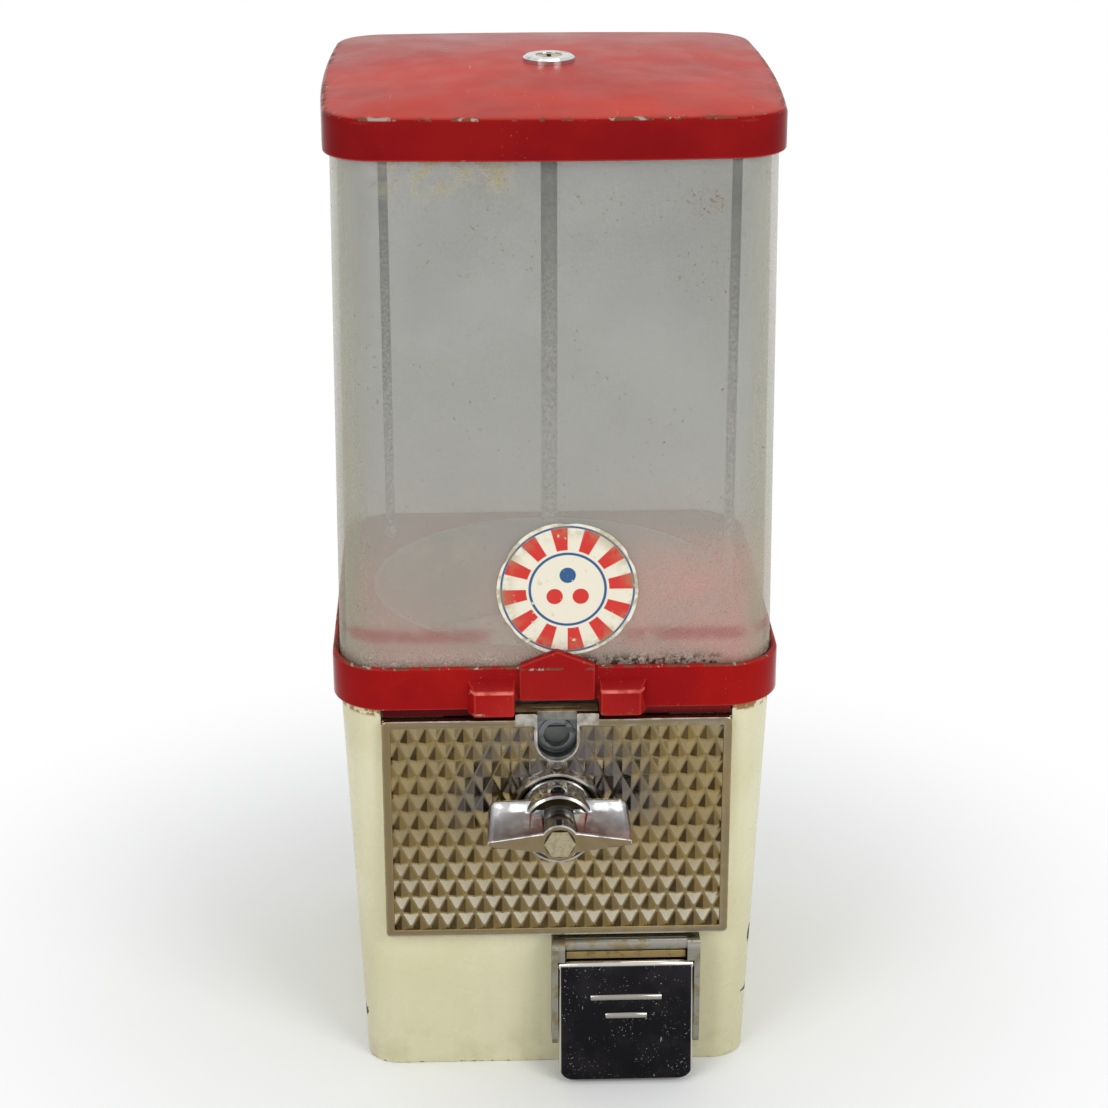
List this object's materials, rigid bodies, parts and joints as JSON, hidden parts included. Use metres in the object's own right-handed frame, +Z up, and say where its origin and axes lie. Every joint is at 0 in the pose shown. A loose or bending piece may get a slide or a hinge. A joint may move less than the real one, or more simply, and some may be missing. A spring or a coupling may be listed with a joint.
{
  "type": "gumball machine",
  "caption": "Square gumball machine with a clear globe, red lid and collar, cream body, diamond-pattern coin plate, turning handle and chute flap",
  "frame": {"origin": "middle of the underside of the base plate", "axes": "+X to the customer's right, -Y towards the customer, +Z up"},
  "size_m": [0.17, 0.1978, 0.3896],
  "materials": {
    "cream_paint": "cream stove enamel on a casting",
    "steel": "plain steel",
    "red_paint": "red enamel on a casting, chipped",
    "clear_plastic": "clear plastic, dusty and hazed",
    "label_paper": "printed paper label",
    "hopper_plastic": "grey moulded plastic",
    "wheel_plastic": "off-white moulded plastic",
    "screw_steel": "zinc-plated screws",
    "bracket_steel": "folded sheet steel",
    "bristle": "nylon bristle",
    "brass": "machined brass",
    "stirrer_metal": "cast stirrer",
    "lock_metal": "plated lock",
    "plate_nickel": "worn nickel plate on a die casting",
    "mech_zinc": "dull zinc casting",
    "shaft_steel": "turned steel",
    "spring_steel": "spring wire",
    "handle_chrome": "bright chrome",
    "bolt_steel": "dark steel bolt",
    "hood_metal": "dull cast grey metal",
    "flap_chrome": "dark worn chrome"
  },
  "bodies": {
    "housing": {"base_shell": "cream_paint", "base_plate": "steel", "centre_rod": "steel", "rod_nut": "steel", "collar": "red_paint", "side_rods": "steel", "hopper_bowl": "hopper_plastic", "bowl_screws": "screw_steel", "brush_holder": "bracket_steel", "brush": "bristle", "coin_plate": "plate_nickel", "spindle_bush": "brass", "mech_housing": "mech_zinc", "mech_screws": "screw_steel", "pawl_pin": "steel", "pawl_spring": "spring_steel", "chute_hood": "hood_metal", "hood_screws": "screw_steel", "chute_channel": "hopper_plastic", "flap_pin": "shaft_steel"},
    "handle_set": {"handle": "handle_chrome", "handle_bolt": "bolt_steel", "spindle": "shaft_steel", "spindle_clip": "shaft_steel", "coin_wheel": "mech_zinc", "ratchet_wheel": "mech_zinc", "drive_pinion": "brass"},
    "wheel_set": {"product_wheel": "wheel_plastic", "crown_gear": "brass", "agitator": "stirrer_metal"},
    "pawl_arm": {"pawl": "mech_zinc"},
    "flap_door": {"flap": "flap_chrome"},
    "globe_set": {"globe": "clear_plastic", "label": "label_paper"},
    "lid_set": {"lid": "red_paint", "lock_body": "lock_metal", "lock_nut": "steel"},
    "key_plug": {"lock_plug": "lock_metal"}
  },
  "joints": [
    {"name": "handle_turn", "type": "hinge", "parent": "housing", "child": "handle_set", "pos_m": [0, -0.0845, 0.1161], "axis": [0, 1, 0], "continuous": true},
    {"name": "wheel_turn", "type": "hinge", "parent": "housing", "child": "wheel_set", "pos_m": [0, 0, 0.1333], "axis": [0, 0, 1], "continuous": true},
    {"name": "pawl_lift", "type": "hinge", "parent": "housing", "child": "pawl_arm", "pos_m": [-0.027, -0.0685, 0.128], "axis": [0, -1, 0], "range_deg": [0, 10], "stiffness_Nm_per_rad": 0.003, "springref_deg": -28.65},
    {"name": "flap_swing", "type": "hinge", "parent": "housing", "child": "flap_door", "pos_m": [0.0268, -0.0864, 0.0496], "axis": [-1, 0, 0], "range_deg": [0, 70]},
    {"name": "globe_lift", "type": "slide", "parent": "housing", "child": "globe_set", "axis": [0, 0, 1], "range_m": [0, 0.22]},
    {"name": "lid_lift", "type": "slide", "parent": "globe_set", "child": "lid_set", "axis": [0, 0, 1], "range_m": [0, 0.06]},
    {"name": "key_turn", "type": "hinge", "parent": "lid_set", "child": "key_plug", "pos_m": [0, 0, 0.384], "axis": [0, 0, 1], "range_deg": [0, 90]}
  ],
  "couplings": [
    {"joint": "wheel_turn", "follows": "handle_turn", "ratio": 0.16667}
  ]
}
